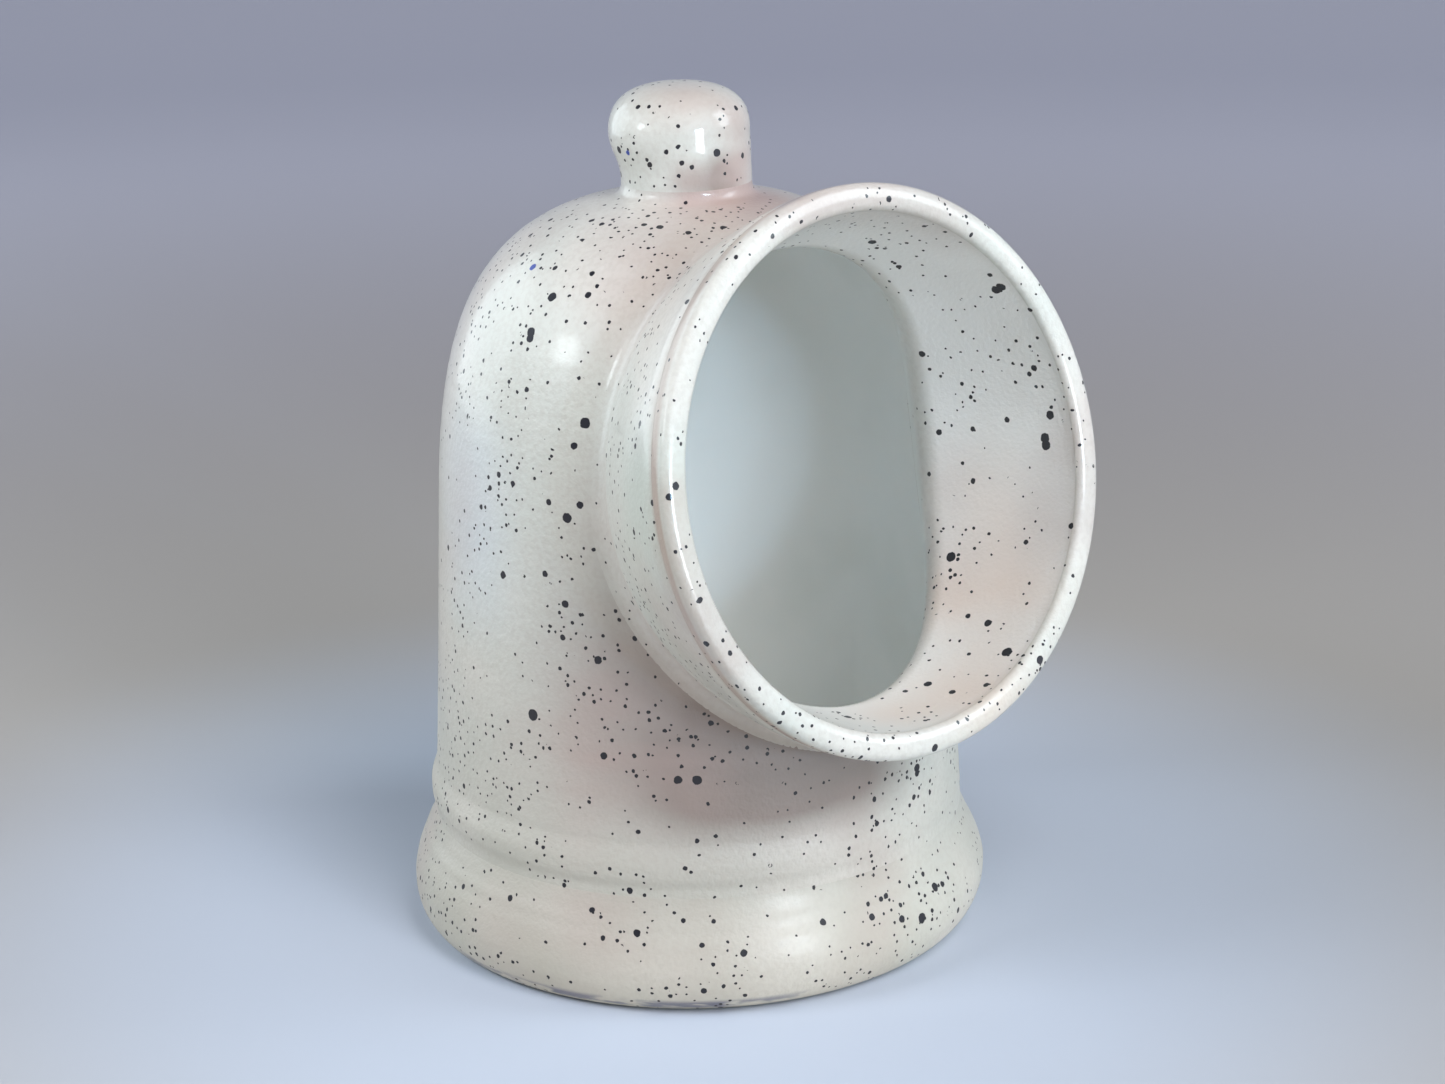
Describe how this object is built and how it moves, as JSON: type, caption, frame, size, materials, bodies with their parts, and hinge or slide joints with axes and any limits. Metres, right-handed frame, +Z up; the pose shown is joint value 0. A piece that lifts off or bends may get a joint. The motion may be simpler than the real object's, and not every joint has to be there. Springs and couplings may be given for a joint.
{
  "type": "salt pig",
  "caption": "Stoneware salt pig: a domed bell with a flared foot, a wide tilted side mouth for scooping salt by hand or spoon, and a knob on top, in speckled glaze.",
  "frame": {"origin": "centre of the flat face that the foot stands on, on the bell's axis", "axes": "+Z up along the bell's axis, the mouth faces -Y, +X to the right seen from the mouth"},
  "size_m": [0.1204, 0.1331, 0.1725],
  "materials": {
    "speckled_glaze": "satin gloss off-white glaze with dark iron specks and a faint pink blush",
    "liner_glaze": "smooth glossy white liner glaze without specks"
  },
  "bodies": {
    "root": {"base_dish": "speckled_glaze", "bell_body": "speckled_glaze", "mouth_collar": "speckled_glaze", "knob": "speckled_glaze", "collar_coil": "speckled_glaze", "knob_coil": "speckled_glaze", "base_seam_coil": "liner_glaze"}
  },
  "joints": []
}
